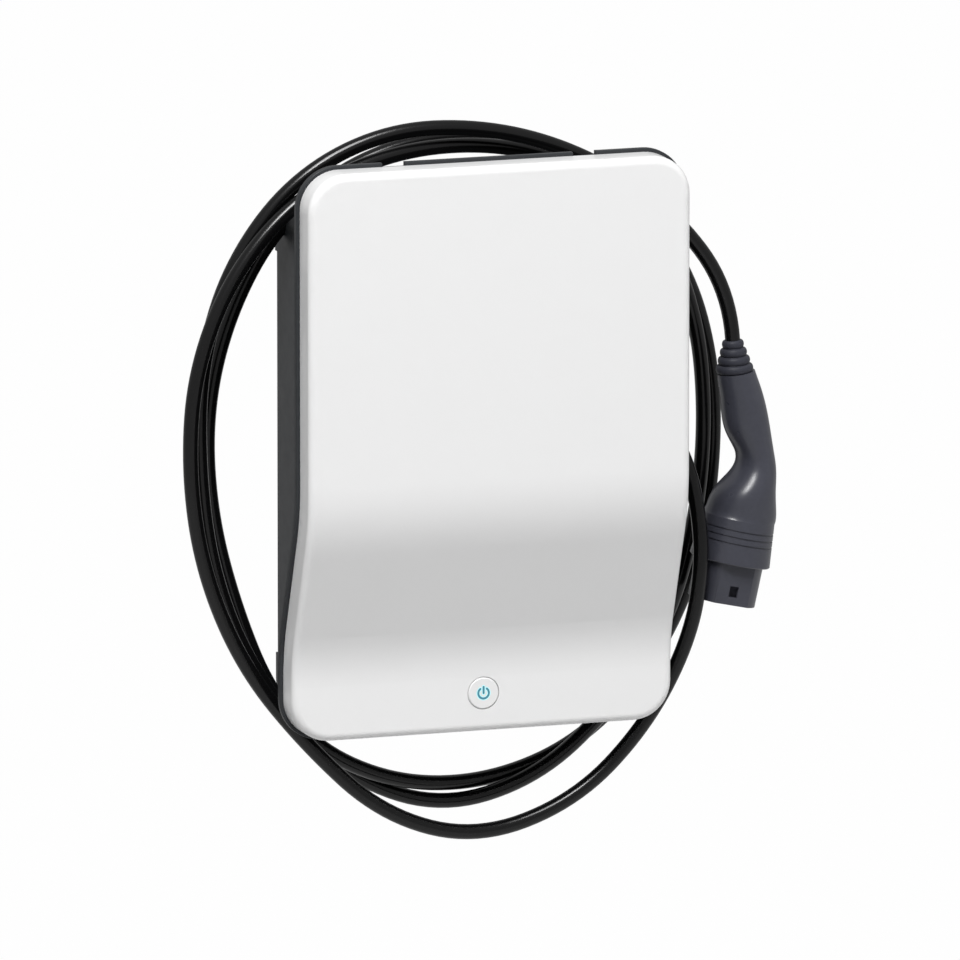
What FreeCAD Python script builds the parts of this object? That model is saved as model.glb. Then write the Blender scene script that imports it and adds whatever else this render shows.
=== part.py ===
import FreeCAD, Part
import Sketcher
import math
import os

# Wall-mounted vehicle charger with its cable and connector.
# X runs to the right, Y into the wall and Z up, in millimetres.
# The origin lies on the wall, at the centre of the four fixing holes.
# Depth is measured out from the wall, so a point at depth D has Y = -D.

V = FreeCAD.Vector
UP = V(0, 0, 1)
OUT = V(0, -1, 0)

doc = FreeCAD.newDocument("Wallbox")
sizes = doc.addObject("Spreadsheet::Sheet", "Sizes")

DRIVING_SIZES = [
    # Rear housing: a tub that the cable is wound round, with a flange in front
    ("total_depth", 170.0),
    ("groove_side", 29.0),
    ("groove_top", 53.0),
    ("groove_bottom", 14.0),
    ("waist_corner", 18.0),
    ("housing_wall", 3.0),
    ("foot_depth", 5.0),
    ("foot_size", 40.0),
    ("fixing_inset_x", 20.5),
    ("fixing_inset_z", 19.5),
    ("fixing_bore", 6.5),
    ("fixing_boss_bore_wall", 4.0),
    ("fixing_boss_height", 6.0),
    ("flange_width", 331.0),
    ("flange_height", 480.0),
    ("flange_corner", 35.0),
    ("flange_thickness", 5.0),
    ("flange_edge", 1.2),
    ("notch_width", 19.5),
    ("notch_centre", 81.2),
    ("notch_shift", -1.5),
    ("notch_depth", 3.6),
    # Front cover: a shell whose face steps back in an S towards the bottom
    ("cover_inset", 3.0),
    ("cover_depth", 26.0),
    ("cover_wall", 3.0),
    ("cover_corner", 32.0),
    ("cover_edge", 6.3),
    ("face_drop", 45.0),
    ("slope_angle", 20.5),
    ("slope_foot", 13.7),
    ("upper_bend", 150.0),
    ("lower_bend", 118.0),
    ("seal_width", 4.0),
    ("seal_height", 2.5),
    ("cover_screw_inset", 27.0),
    ("cover_screw_rise", 18.5),
    ("cover_screw_size", 4.0),
    ("cover_screw_grip", 12.0),
    ("cover_post_radius", 5.0),
    ("rib_thickness", 2.0),
    ("rib_height", 6.0),
    ("rib_pitch", 60.0),
    # Stop button and what carries it
    ("button_radius", 13.0),
    ("button_lift", 35.0),
    ("button_flange", 2.0),
    ("button_skin", 1.2),
    ("button_proud", 0.3),
    ("button_gap", 0.6),
    ("button_edge", 0.8),
    ("button_travel", 1.5),
    ("button_stem", 4.5),
    ("button_rest", 7.0),
    ("button_lip", 1.4),
    ("guide_wall", 1.6),
    ("guide_height", 9.0),
    ("light_radius", 3.0),
    ("board_thickness", 1.6),
    ("button_board_width", 64.0),
    ("button_board_height", 30.0),
    ("switch_size", 6.0),
    ("switch_height", 3.4),
    ("dome_radius", 9.0),
    ("dome_skin", 1.2),
    ("board_post_radius", 3.5),
    ("board_screw_radius", 2.8),
    # Supply entry in the bottom wall and cable outlet in the right-hand wall
    ("supply_x", 40.0),
    ("supply_share", 0.5532),
    ("supply_thread", 16.0),
    ("supply_hex", 20.0),
    ("supply_bore", 9.5),
    ("supply_body_height", 7.0),
    ("supply_nut_height", 11.0),
    ("locknut_height", 5.0),
    ("outlet_depth", 80.0),
    ("outlet_share", 0.1695),
    ("outlet_angle", 55.0),
    ("outlet_boss", 17.0),
    ("outlet_boss_length", 24.0),
    ("outlet_thread", 12.5),
    ("outlet_hex", 17.0),
    ("outlet_body_height", 6.0),
    ("outlet_nut_height", 16.0),
    ("seal_ring", 2.0),
    # Devices inside
    ("rail_width", 35.0),
    ("rail_height", 7.5),
    ("rail_brim", 4.0),
    ("rail_sheet", 1.0),
    ("rail_inset", 18.5),
    ("rail_share", 0.126),
    ("rail_spacer", 6.0),
    ("rail_spacer_radius", 6.0),
    ("rail_screw_radius", 4.0),
    ("module_share", 0.0754),
    ("device_share", 0.208),
    ("device_nose", 45.0),
    ("device_depth", 44.0),
    ("device_nose_depth", 14.0),
    ("device_gap", 1.0),
    ("terminal_share", 0.29),
    ("terminal_pitch", 12.0),
    ("terminal_height", 46.0),
    ("terminal_depth", 34.0),
    ("terminal_mouth", 4.0),
    ("earth_share", 0.155),
    ("earth_length", 90.0),
    ("earth_section", 10.0),
    ("earth_hole", 2.5),
    ("earth_pitch", 14.0),
    ("control_share", 0.363),
    ("control_width_share", 0.718),
    ("control_height_share", 0.189),
    ("component_tall", 26.0),
    ("standoff_height", 12.0),
    ("standoff_radius", 3.5),
    ("sensor_radius", 22.0),
    ("sensor_hole", 12.0),
    ("sensor_depth", 18.0),
    ("sensor_side_share", 0.337),
    ("sensor_share", 0.097),
    # Cable and vehicle connector
    ("cable_diameter", 12.5),
    ("connector_depth", 71.0),
    ("connector_side_share", 0.8535),
    ("connector_share", 0.201),
    ("boot_length", 27.0),
    ("boot_top", 9.0),
    ("boot_base", 15.4),
    ("boot_groove", 1.7),
    ("handle_wall", 3.0),
    ("handle_length", 120.9),
    ("collar_length", 36.4),
    ("collar_radius", 33.3),
    ("collar_top", 29.9),
    ("shroud_radius", 28.0),
    ("shroud_wall", 2.6),
    ("shroud_length", 33.5),
    ("shroud_seat", 14.0),
    ("shroud_flat", 24.0),
    ("lock_width", 7.5),
    ("lock_height", 9.0),
    ("lock_from_rim", 11.2),
    ("carrier_front", 12.0),
    ("carrier_gap", 0.3),
    ("contact_radius", 4.6),
    ("pilot_radius", 3.0),
    ("contact_length", 14.0),
    ("grip_groove_foot", 2.6),
    ("grip_groove", 1.3),
    ("grip_groove_depth", 0.9),
    ("grip_groove_pitch", 5.3),
    ("running_gap", 0.3),
]
# Sizes that follow from the driving ones
DERIVED_SIZES = {
    "waist_width": "flange_width-2*groove_side",
    "waist_height": "flange_height-groove_top-groove_bottom",
    "flange_rise": "groove_top/2-groove_bottom/2",
    "flange_foot": "flange_rise-flange_height/2",
    "fixing_span_x": "waist_width-2*fixing_inset_x",
    "fixing_span_z": "waist_height-2*fixing_inset_z",
    "cover_screw_span": "flange_width-2*cover_screw_inset",
    "button_height": "flange_foot+button_lift",
    "groove_depth": "total_depth-face_drop-cover_depth-flange_thickness",
    "supply_depth": "groove_depth*supply_share",
    "outlet_rise": "waist_height*outlet_share",
    "rail_length": "waist_width-2*rail_inset",
    "rail_rise": "waist_height*rail_share",
    "module_width": "rail_length*module_share",
    "device_height": "waist_height*device_share",
    "terminal_rise": "0-waist_height*terminal_share",
    "earth_rise": "0-waist_height*earth_share",
    "sensor_rise": "0-waist_height*sensor_share",
    "sensor_x": "waist_width*sensor_side_share",
    "control_rise": "waist_height*control_share",
    "control_width": "waist_width*control_width_share",
    "control_height": "waist_height*control_height_share",
    "connector_x": "waist_width*connector_side_share",
    "connector_top": "waist_height*connector_share",
}
for row, (alias, value) in enumerate(DRIVING_SIZES, 1):
    sizes.set(f"A{row}", alias)
    sizes.set(f"B{row}", str(value))
    sizes.setAlias(f"B{row}", alias)
doc.recompute()

# The cable's route from the second point after the gland to the last before
# the boot: out and down the right side, then three turns round the waist.
# It's given for a waist of this width and height, and stretched to the actual one.
ROUTE_WAIST = (273.0, 413.0)
CABLE_ROUTE = [
    (195, -92, -42), (200, -98, -95), (191, -94, -158), (156, -80, -229), (94, -75, -288),
    (11, -70, -318), (-67, -66, -286), (-129, -64, -226), (-179, -63, -159), (-215, -62, -82),
    (-232, -62, 1), (-228, -62, 86), (-193, -60, 164), (-130, -56, 222), (-50, -49, 252),
    (35, -42, 253), (117, -37, 228), (182, -31, 173), (215, -26, 94), (225, -25, 10),
    (218, -25, -74), (194, -26, -156), (144, -29, -224), (77, -34, -279), (-6, -26, -301),
    (-85, -16, -264), (-146, -16, -203), (-180, -16, -125), (-204, -16, -44), (-212, -18, 41),
    (-197, -19, 124), (-154, -22, 199), (-83, -24, 247), (2, -24, 260), (86, -22, 243),
    (159, -17, 199), (210, -14, 131), (233, -13, 49), (237, -13, -36), (222, -13, -119),
    (182, -14, -195), (120, -14, -254), (40, -19, -281), (-46, -32, -274), (-119, -39, -234),
    (-167, -38, -162), (-198, -38, -84), (-211, -39, 0), (-213, -40, 85), (-189, -42, 166),
    (-135, -47, 234), (-58, -51, 270), (28, -56, 269), (108, -62, 242), (178, -68, 193),
    (228, -71, 126),
]
OUTLET_LEAD = 38.0
# Share of the shorter run that each bend's arc takes up
ARC_SHARE = 0.45

# Handle stations from the boot down to the collar: share of the length,
# sideways offset from the boot's foot, half width, half depth and lean.
# The first one leans with the boot.
HANDLE_STATIONS = [
    (0.00, 0.0, 15.4, 15.4, None),
    (0.15, 4.2, 17.5, 17.5, 5.5),
    (0.32, 7.9, 18.9, 18.8, 4.0),
    (0.44, 11.5, 17.8, 19.2, 2.0),
    (0.56, 16.1, 15.5, 20.0, -0.5),
    (0.65, 16.5, 16.6, 22.0, -3.0),
    (0.75, 12.1, 21.0, 26.0, -6.0),
    (0.87, 6.6, 26.7, 28.9, -9.5),
    (1.00, 2.6, 29.9, 29.9, -12.5),
]
# Reach of a cubic curve's inner poles that makes a quarter of an ellipse
QUARTER_REACH = 0.5522847

NODES = []


def val(alias):
    """One driving size, as the sheet holds it, or one that follows from them."""
    if alias in DERIVED_SIZES:
        return worked_out(DERIVED_SIZES[alias])
    return float(sizes.get(alias))


def bind(obj, **expressions):
    """Tie properties to sheet expressions; a double underscore stands for a dot."""
    for name, expression in expressions.items():
        obj.setExpression(name.replace("__", "."), tied(expression))
    return obj


def tied(expression):
    """Write out what follows from other sizes, and prefix each alias with the sheet's name."""
    words = []
    word = ""
    for mark in str(expression) + " ":
        if mark.isalnum() or mark == "_":
            word += mark
            continue
        if word in DERIVED_SIZES:
            word = "(" + tied(DERIVED_SIZES[word]) + ")"
        elif word in ALIASES:
            word = "Sizes." + word
        words.append(word)
        words.append(mark)
        word = ""
    return "".join(words).strip()


ALIASES = {alias for alias, _ in DRIVING_SIZES}


def node(obj, name):
    """Name a finished sub-part; its label names its file."""
    obj.Label = name
    NODES.append(obj)
    return obj


def block(name, length, depth, height, x, y, z):
    """Box with its low corner at x, y, z."""
    obj = doc.addObject("Part::Box", name)
    bind(obj, Length=length, Width=depth, Height=height)
    return bind(obj, Placement__Base__x=x, Placement__Base__y=y, Placement__Base__z=z)


def rod(name, radius, height, x, y, z, axis=OUT):
    """Cylinder that starts at x, y, z and runs along an axis."""
    obj = doc.addObject("Part::Cylinder", name)
    obj.Placement.Rotation = FreeCAD.Rotation(UP, axis)
    bind(obj, Radius=radius, Height=height)
    return bind(obj, Placement__Base__x=x, Placement__Base__y=y, Placement__Base__z=z)


def hexagon(name, radius, height, x, y, z, axis=OUT):
    """Hexagonal prism that starts at x, y, z and runs along an axis."""
    obj = doc.addObject("Part::Prism", name)
    obj.Polygon = 6
    obj.Placement.Rotation = FreeCAD.Rotation(UP, axis)
    bind(obj, Circumradius=radius, Height=height)
    return bind(obj, Placement__Base__x=x, Placement__Base__y=y, Placement__Base__z=z)


def cut(name, base, *tools):
    """Base less its tools."""
    obj = doc.addObject("Part::Cut", name)
    obj.Base = base
    obj.Tool = tools[0] if len(tools) == 1 else fuse(name + "_tools", *tools)
    return obj


def fuse(name, *parts):
    """Several shapes as one."""
    obj = doc.addObject("Part::MultiFuse", name)
    obj.Shapes = list(parts)
    return obj


def group(name, *parts):
    """Separate solids that share one node."""
    obj = doc.addObject("Part::Compound", name)
    obj.Links = list(parts)
    return obj


def solid(name, shape):
    """A form that only the geometry kernel's own functions give."""
    obj = doc.addObject("Part::Feature", name)
    obj.Shape = shape
    return obj


def turned(name, outline, at=V(0, 0, 0), axis=OUT):
    """Turned piece: the outline gives radius and height along the axis, point by point."""
    body = doc.addObject("PartDesign::Body", name)
    sketch = body.newObject("Sketcher::SketchObject", name + "_outline")
    plane = [f for f in body.Origin.OriginFeatures if f.Role == "XZ_Plane"][0]
    sketch.AttachmentSupport = (plane, [""])
    sketch.MapMode = "FlatFace"
    points = [V(number(r), number(h), 0) for r, h in outline]
    count = len(points)
    for i in range(count):
        sketch.addGeometry(Part.LineSegment(points[i], points[(i + 1) % count]), False)
    for i in range(count):
        join(sketch, i, (i + 1) % count)
    for i, (radius, height) in enumerate(outline):
        fix(sketch, i, "DistanceX", radius, points[i].x, -2, f"radius{i}")
        fix(sketch, i, "DistanceY", height, points[i].y, -1, f"height{i}")
    spin = body.newObject("PartDesign::Revolution", name + "_turn")
    spin.Profile = sketch
    spin.ReferenceAxis = (sketch, ["V_Axis"])
    spin.Angle = 360.0
    body.Placement = FreeCAD.Placement(at, FreeCAD.Rotation(UP, axis))
    return body


def join(sketch, first, second):
    """End of one line on the start of the next."""
    sketch.addConstraint(Sketcher.Constraint("Coincident", first, 2, second, 1))


def fix(sketch, line, kind, expression, value, datum, name):
    """Set one coordinate of a line's start from the sketch's origin."""
    if abs(value) < 1e-9:
        sketch.addConstraint(Sketcher.Constraint("PointOnObject", line, 1, datum))
        return
    index = sketch.addConstraint(Sketcher.Constraint(kind, -1, 1, line, 1, value))
    sketch.renameConstraint(index, name)
    sketch.setExpression("Constraints." + name, tied(expression))


def number(expression):
    """Value of a sheet expression, for a sketch's first guess."""
    return float(worked_out(str(expression)))


def worked_out(expression):
    """Work out plus, minus, times and divided-by terms without brackets."""
    total = 0.0
    for sign, term in signed_terms(expression):
        product = 1.0
        for part in term.split("*"):
            pieces = part.split("/")
            factor = term_value(pieces[0])
            for divisor in pieces[1:]:
                factor /= term_value(divisor)
            product *= factor
        total += sign * product
    return total


def signed_terms(expression):
    """Split an expression at its plus and minus signs."""
    terms = []
    sign = 1.0
    word = ""
    for mark in expression.replace(" ", "") + "+":
        if mark in "+-":
            if word:
                terms.append((sign, word))
            sign = -1.0 if mark == "-" else 1.0
            word = ""
        else:
            word += mark
    return terms


def term_value(word):
    """A plain number, or the size that a word names."""
    return val(word) if word in ALIASES or word in DERIVED_SIZES else float(word)


# Outline of the S-shaped face
def s_curve(inset, top, bottom):
    """Edges of the face's side view, set back by inset, from top to bottom."""
    angle = math.radians(val("slope_angle"))
    front = val("total_depth")
    drop = val("face_drop")
    upper = val("upper_bend")
    lower = val("lower_bend")
    end = val("button_height") + val("slope_foot")
    slope = (drop - (upper + lower) * (1 - math.cos(angle))) / math.sin(angle)
    start = end + (upper + lower) * math.sin(angle) + slope * math.cos(angle)
    first = V(0, upper - front, start)
    last = V(0, drop - front - lower, end)

    def on_upper(turn):
        radius = upper - inset
        return first + V(0, -radius * math.cos(turn), -radius * math.sin(turn))

    def on_lower(turn):
        radius = lower + inset
        return last + V(0, radius * math.cos(turn), radius * math.sin(turn))

    return [
        Part.LineSegment(V(0, on_upper(0).y, top), on_upper(0)),
        Part.Arc(on_upper(0), on_upper(angle / 2), on_upper(angle)),
        Part.LineSegment(on_upper(angle), on_lower(angle)),
        Part.Arc(on_lower(angle), on_lower(angle / 2), on_lower(0)),
        Part.LineSegment(on_lower(0), V(0, on_lower(0).y, bottom)),
    ]


def s_block(inset, back, half_width, top, bottom, corner):
    """Solid between the S-shaped face, set back by inset, and its back.

    The back is a depth from the wall, or a second inset given as a tuple."""
    front = s_curve(inset, top, bottom)
    if isinstance(back, tuple):
        rear = s_curve(back[0], top, bottom)
    else:
        rear = [Part.LineSegment(V(0, -back, top), V(0, -back, bottom))]
    ends = [
        Part.LineSegment(front[-1].EndPoint, rear[-1].EndPoint),
        Part.LineSegment(rear[0].StartPoint, front[0].StartPoint),
    ]
    edges = [curve.toShape() for curve in front + rear + ends]
    face = Part.Face(Part.Wire(Part.__sortEdges__(edges)))
    face.translate(V(-half_width, 0, 0))
    shape = face.extrude(V(2 * half_width, 0, 0))
    if corner <= 0:
        return shape
    corners = [e for e in shape.Edges if is_corner(e, half_width, top, bottom)]
    return shape.makeFillet(corner, corners)


def is_corner(edge, half_width, top, bottom):
    """One of the four straight edges that run in from the face's corners."""
    a = edge.Vertexes[0].Point
    b = edge.Vertexes[-1].Point
    level = abs(a.z - top) < 0.01 or abs(a.z - bottom) < 0.01
    return level and abs(abs(a.x) - half_width) < 0.01 and abs(a.x - b.x) < 0.01 and abs(a.z - b.z) < 0.01


def face_rim(shape, inset, top, bottom):
    """Edges that bound the S-shaped face."""
    sheet = [curve.toShape() for curve in s_curve(inset, top, bottom)]
    rim = []
    for edge in shape.Edges:
        middle = edge.valueAt((edge.FirstParameter + edge.LastParameter) / 2)
        flat = Part.Vertex(V(0, middle.y, middle.z))
        on_face = min(flat.distToShape(part)[0] for part in sheet) < 0.01
        crosses = abs(middle.x) < 0.01 and bottom + 0.01 < middle.z < top - 0.01
        if on_face and not crosses:
            rim.append(edge)
    return rim


def face_depth():
    """Depth of the flat lower face, where the button sits."""
    return val("total_depth") - val("face_drop")


def flange_top():
    return val("flange_rise") + val("flange_height") / 2


def flange_bottom():
    return val("flange_foot")


def box_shape(x0, x1, d0, d1, z0, z1):
    """Box between two widths, two depths from the wall and two heights."""
    return Part.makeBox(x1 - x0, d1 - d0, z1 - z0, V(x0, -d1, z0))


def outlet_axis():
    """Direction in which the charging cable leaves the housing."""
    angle = math.radians(val("outlet_angle"))
    return V(math.cos(angle), 0, -math.sin(angle))


def outlet_point(distance):
    """Point on the outlet's axis, measured out from the side wall."""
    foot = V(val("waist_width") / 2, -val("outlet_depth"), val("outlet_rise"))
    return foot + outlet_axis() * distance


def flange_shape():
    """Curved flange that holds the wound cable back and carries the cover."""
    inset = val("cover_depth")
    top = flange_top()
    bottom = flange_bottom()
    shape = s_block(inset, (inset + val("flange_thickness"),), val("flange_width") / 2,
                    top, bottom, val("flange_corner"))
    shape = shape.makeFillet(val("flange_edge"), face_rim(shape, inset, top, bottom))
    for side in (-1, 1):
        centre = side * val("notch_centre") + val("notch_shift")
        half = val("notch_width") / 2
        notch = box_shape(centre - half, centre + half, 0, val("total_depth"),
                          top - val("notch_depth"), top + 1)
        shape = shape.cut(notch)
    return shape


def waist_block(front_inset, back, shrink):
    """Tub's outline between a front inset and a depth, shrunk for its inside."""
    half_height = val("waist_height") / 2 - shrink
    return s_block(front_inset, back, val("waist_width") / 2 - shrink,
                   half_height, -half_height, val("waist_corner") - shrink)


def feet_shape():
    """Four pads behind the tub's corners, which stand on the wall."""
    half_width = val("waist_width") / 2
    half_height = val("waist_height") / 2
    size = val("foot_size")
    plate = box_shape(-half_width, half_width, 0, val("foot_depth"), -half_height, half_height)
    corners = [e for e in plate.Edges if is_corner(e, half_width, half_height, -half_height)]
    plate = plate.makeFillet(val("waist_corner"), corners)
    depth = val("foot_depth")
    tall = box_shape(size - half_width, half_width - size, -1, depth + 1, -half_height, half_height)
    wide = box_shape(-half_width, half_width, -1, depth + 1, size - half_height, half_height - size)
    return plate.cut(tall).cut(wide)


def fixing_points():
    """The four wall fixings, in a rectangle about the origin."""
    return [(sx * val("fixing_span_x") / 2, sz * val("fixing_span_z") / 2)
            for sx in (-1, 1) for sz in (-1, 1)]


def cover_screw_points():
    """Screws through the flange, in its lower corners."""
    height = flange_bottom() + val("cover_screw_rise")
    return [(side * val("cover_screw_span") / 2, height) for side in (-1, 1)]


def make_rear_housing():
    """Moulded tub, feet, flange, fixing bosses and outlet boss in one piece."""
    wall = val("housing_wall")
    floor = val("foot_depth") + wall
    rear = val("cover_depth") + val("flange_thickness")
    inside = waist_block(val("cover_depth") - 1, floor, wall)
    shell = waist_block(rear, val("foot_depth"), 0).fuse(flange_shape()).fuse(feet_shape())
    boss = Part.makeCylinder(val("outlet_boss"), val("outlet_boss_length") + 20,
                             outlet_point(-20), outlet_axis())
    shell = shell.fuse(boss).cut(inside)
    for x, z in fixing_points():
        radius = val("fixing_bore") / 2 + val("fixing_boss_bore_wall")
        post = Part.makeCylinder(radius, val("fixing_boss_height"), V(x, -floor, z), OUT)
        shell = shell.fuse(post)
    for x, z in fixing_points():
        bore = Part.makeCylinder(val("fixing_bore") / 2, floor + val("fixing_boss_height") + 2,
                                 V(x, 1, z), OUT)
        shell = shell.cut(bore)
    outlet = Part.makeCylinder(val("outlet_thread"), val("outlet_boss_length") + 36,
                               outlet_point(-30), outlet_axis())
    supply = Part.makeCylinder(val("supply_thread"), 10,
                               V(val("supply_x"), -val("supply_depth"), 5 - val("waist_height") / 2),
                               V(0, 0, -1))
    shell = shell.cut(outlet).cut(supply)
    depth = face_depth()
    for x, z in cover_screw_points():
        hole = Part.makeCylinder(val("cover_screw_size") / 2 + 0.3, depth, V(x, 0, z), OUT)
        shell = shell.cut(hole)
    return node(solid("Rear", shell.removeSplitter()), "rear_housing")


def cover_height_range(shrink):
    """Top and bottom of the cover's outline, shrunk by its wall for the inside."""
    inset = val("cover_inset") + shrink
    return flange_top() - inset, flange_bottom() + inset


def cover_block(inset, back_inset, shrink, edge):
    """Rounded block with the cover's outline."""
    top, bottom = cover_height_range(shrink)
    half_width = val("flange_width") / 2 - val("cover_inset") - shrink
    shape = s_block(inset, (back_inset,), half_width, top, bottom, val("cover_corner") - shrink)
    return shape.makeFillet(edge, face_rim(shape, inset, top, bottom))


def button_height():
    return val("button_height")


def make_front_cover():
    """White shell with a button bore, screw posts, board posts and ribs."""
    wall = val("cover_wall")
    depth = val("cover_depth")
    outer = cover_block(0, depth, 0, val("cover_edge"))
    inner = cover_block(wall, depth + 1, wall, val("cover_edge") - wall)
    shell = outer.cut(inner)
    lower = face_depth()
    extras = []
    for x, z in cover_screw_points():
        extras.append(Part.makeCylinder(val("cover_post_radius"), depth - wall / 2,
                                        V(x, -(lower - depth), z), OUT))
    top, bottom = cover_height_range(wall)
    half_width = val("flange_width") / 2 - val("cover_inset") - wall
    ribs = int((half_width - val("cover_edge")) / val("rib_pitch"))
    rib = s_block(wall / 2, (wall + val("rib_height"),), val("rib_thickness") / 2,
                  top - val("cover_edge"), bottom, 0)
    rib = rib.common(box_shape(-10, 10, 0, 2 * val("total_depth"), rib_foot(), top))
    for i in range(-ribs, ribs + 1):
        extras.append(rib.translated(V(i * val("rib_pitch"), 0, 0)))
    for x, z in button_board_points():
        extras.append(Part.makeCylinder(val("board_post_radius"), board_seat(),
                                        V(x, wall / 2 - lower + board_seat(), z), OUT))
    for extra in extras:
        shell = shell.fuse(extra)
    for x, z in cover_screw_points():
        hole = Part.makeCylinder(val("cover_screw_size") / 2, depth - wall - 2,
                                 V(x, 1 - (lower - depth), z), OUT)
        shell = shell.cut(hole)
    bore = Part.makeCylinder(val("button_radius") + val("button_gap"), wall * 3,
                             V(0, wall * 2 - lower, button_height()), OUT)
    shell = shell.cut(bore)
    return node(solid("Cover", shell.removeSplitter()), "front_cover")


def rib_foot():
    """Lower end of the cover's ribs, above the button board."""
    return button_height() + val("button_board_height") / 2 + 8


def board_seat():
    """Length of the posts from the cover's skin to the button board."""
    return val("cover_wall") / 2 + val("button_rest") + val("switch_height")


def button_board_points():
    """Posts for the button board, left and right of the button."""
    half = val("button_board_width") / 2 - 6
    return [(-half, button_height()), (half, button_height())]


def make_cover_seal():
    """Gasket that lies on the flange, inside the cover's edge."""
    gap = val("running_gap")
    wall = val("cover_wall") + gap
    depth = val("cover_depth")
    outer = seal_block(depth - val("seal_height"), depth, wall)
    inner = seal_block(depth - val("seal_height") - 1, depth + 1, wall + val("seal_width"))
    return node(solid("Seal", outer.cut(inner)), "cover_seal")


def seal_block(inset, back_inset, shrink):
    """Block with the seal's outline."""
    top, bottom = cover_height_range(shrink)
    half_width = val("flange_width") / 2 - val("cover_inset") - shrink
    return s_block(inset, (back_inset,), half_width, top, bottom, val("cover_corner") - shrink)


def make_cover_screws():
    """Two pan-head screws that come through the flange from behind."""
    screws = []
    rear = face_depth() - val("cover_depth") - val("flange_thickness")
    for i, (x, z) in enumerate(cover_screw_points()):
        shank = "flange_thickness+cover_screw_grip"
        outline = [
            ("0", "-3"),
            ("cover_screw_size*0.95", "-3"),
            ("cover_screw_size", "-0.5"),
            ("cover_screw_size", "0"),
            ("cover_screw_size/2-0.1", "0"),
            ("cover_screw_size/2-0.1", shank),
            ("0", shank),
        ]
        screws.append(turned(f"CoverScrew{i}", outline, V(x, -rear, z)))
    return node(group("CoverScrews", *screws), "cover_screws")


def make_button():
    """Round push button with a stem and a retaining collar, and its clear light pipe."""
    at = V(0, -(face_depth() - val("cover_wall") - val("button_rest")), button_height())
    front = "button_rest+cover_wall+button_proud"
    outline = [
        ("light_radius+running_gap", "0"),
        ("button_stem", "0"),
        ("button_stem", "button_rest-button_flange"),
        ("button_radius+button_lip", "button_rest-button_flange"),
        ("button_radius+button_lip", "button_rest"),
        ("button_radius", "button_rest"),
        ("button_radius", front + "-button_edge"),
        ("button_radius-button_edge", front),
        ("0", front),
        ("0", front + "-button_skin"),
        ("light_radius+running_gap", front + "-button_skin"),
    ]
    node(turned("Button", outline, at), "stop_button")
    pipe = [
        ("0", "0"),
        ("light_radius", "0"),
        ("light_radius", front + "-button_skin"),
        ("0", front + "-button_skin"),
    ]
    return node(turned("LightPipe", pipe, at), "button_light_pipe")


def make_button_guide():
    """Sleeve behind the cover in which the button slides."""
    at = V(0, -(face_depth() - val("cover_wall")), button_height())
    outline = [
        ("button_radius+button_lip+running_gap", "0-guide_height"),
        ("button_radius+button_lip+running_gap+guide_wall", "0-guide_height"),
        ("button_radius+button_lip+running_gap+guide_wall", "0"),
        ("button_radius+button_lip+running_gap", "0"),
    ]
    return node(turned("Guide", outline, at), "button_guide")


def board_front():
    """Depth of the button board's front face."""
    return face_depth() - val("cover_wall") - val("button_rest") - val("switch_height")


def make_button_board():
    """Small board on two posts, with the switch and the return dome."""
    front = board_front()
    x = "0-button_board_width/2"
    z = "button_height-button_board_height/2"
    y = "cover_wall+button_rest+switch_height+face_drop-total_depth"
    board = block("ButtonBoard", "button_board_width", "board_thickness", "button_board_height", x, y, z)
    node(board, "button_board")
    top = "switch_height-button_travel-running_gap"
    switch = block("Switch", "switch_size", top, "switch_size", "0-switch_size/2",
                   "cover_wall+button_rest+button_travel+running_gap+face_drop-total_depth",
                   "button_height-switch_size/2")
    node(switch, "button_switch")
    screws = []
    for i, (px, pz) in enumerate(button_board_points()):
        outline = [("0", "-1.8"), ("board_screw_radius", "-1.8"), ("board_screw_radius", "0"), ("0", "0")]
        screws.append(turned(f"BoardScrew{i}", outline, V(px, -(front - val("board_thickness")), pz)))
    node(group("BoardScrews", *screws), "button_board_screws")
    at = V(0, -front, button_height())
    dome = [
        ("dome_radius-dome_skin", "0"),
        ("dome_radius", "0"),
        ("dome_radius-0.8", "1"),
        ("button_stem+1", top),
        ("button_stem", top),
        ("button_stem", top + "-0.7"),
        ("dome_radius-2*dome_skin", "0.7"),
    ]
    return node(turned("Dome", dome, at), "button_return_dome")


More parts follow.
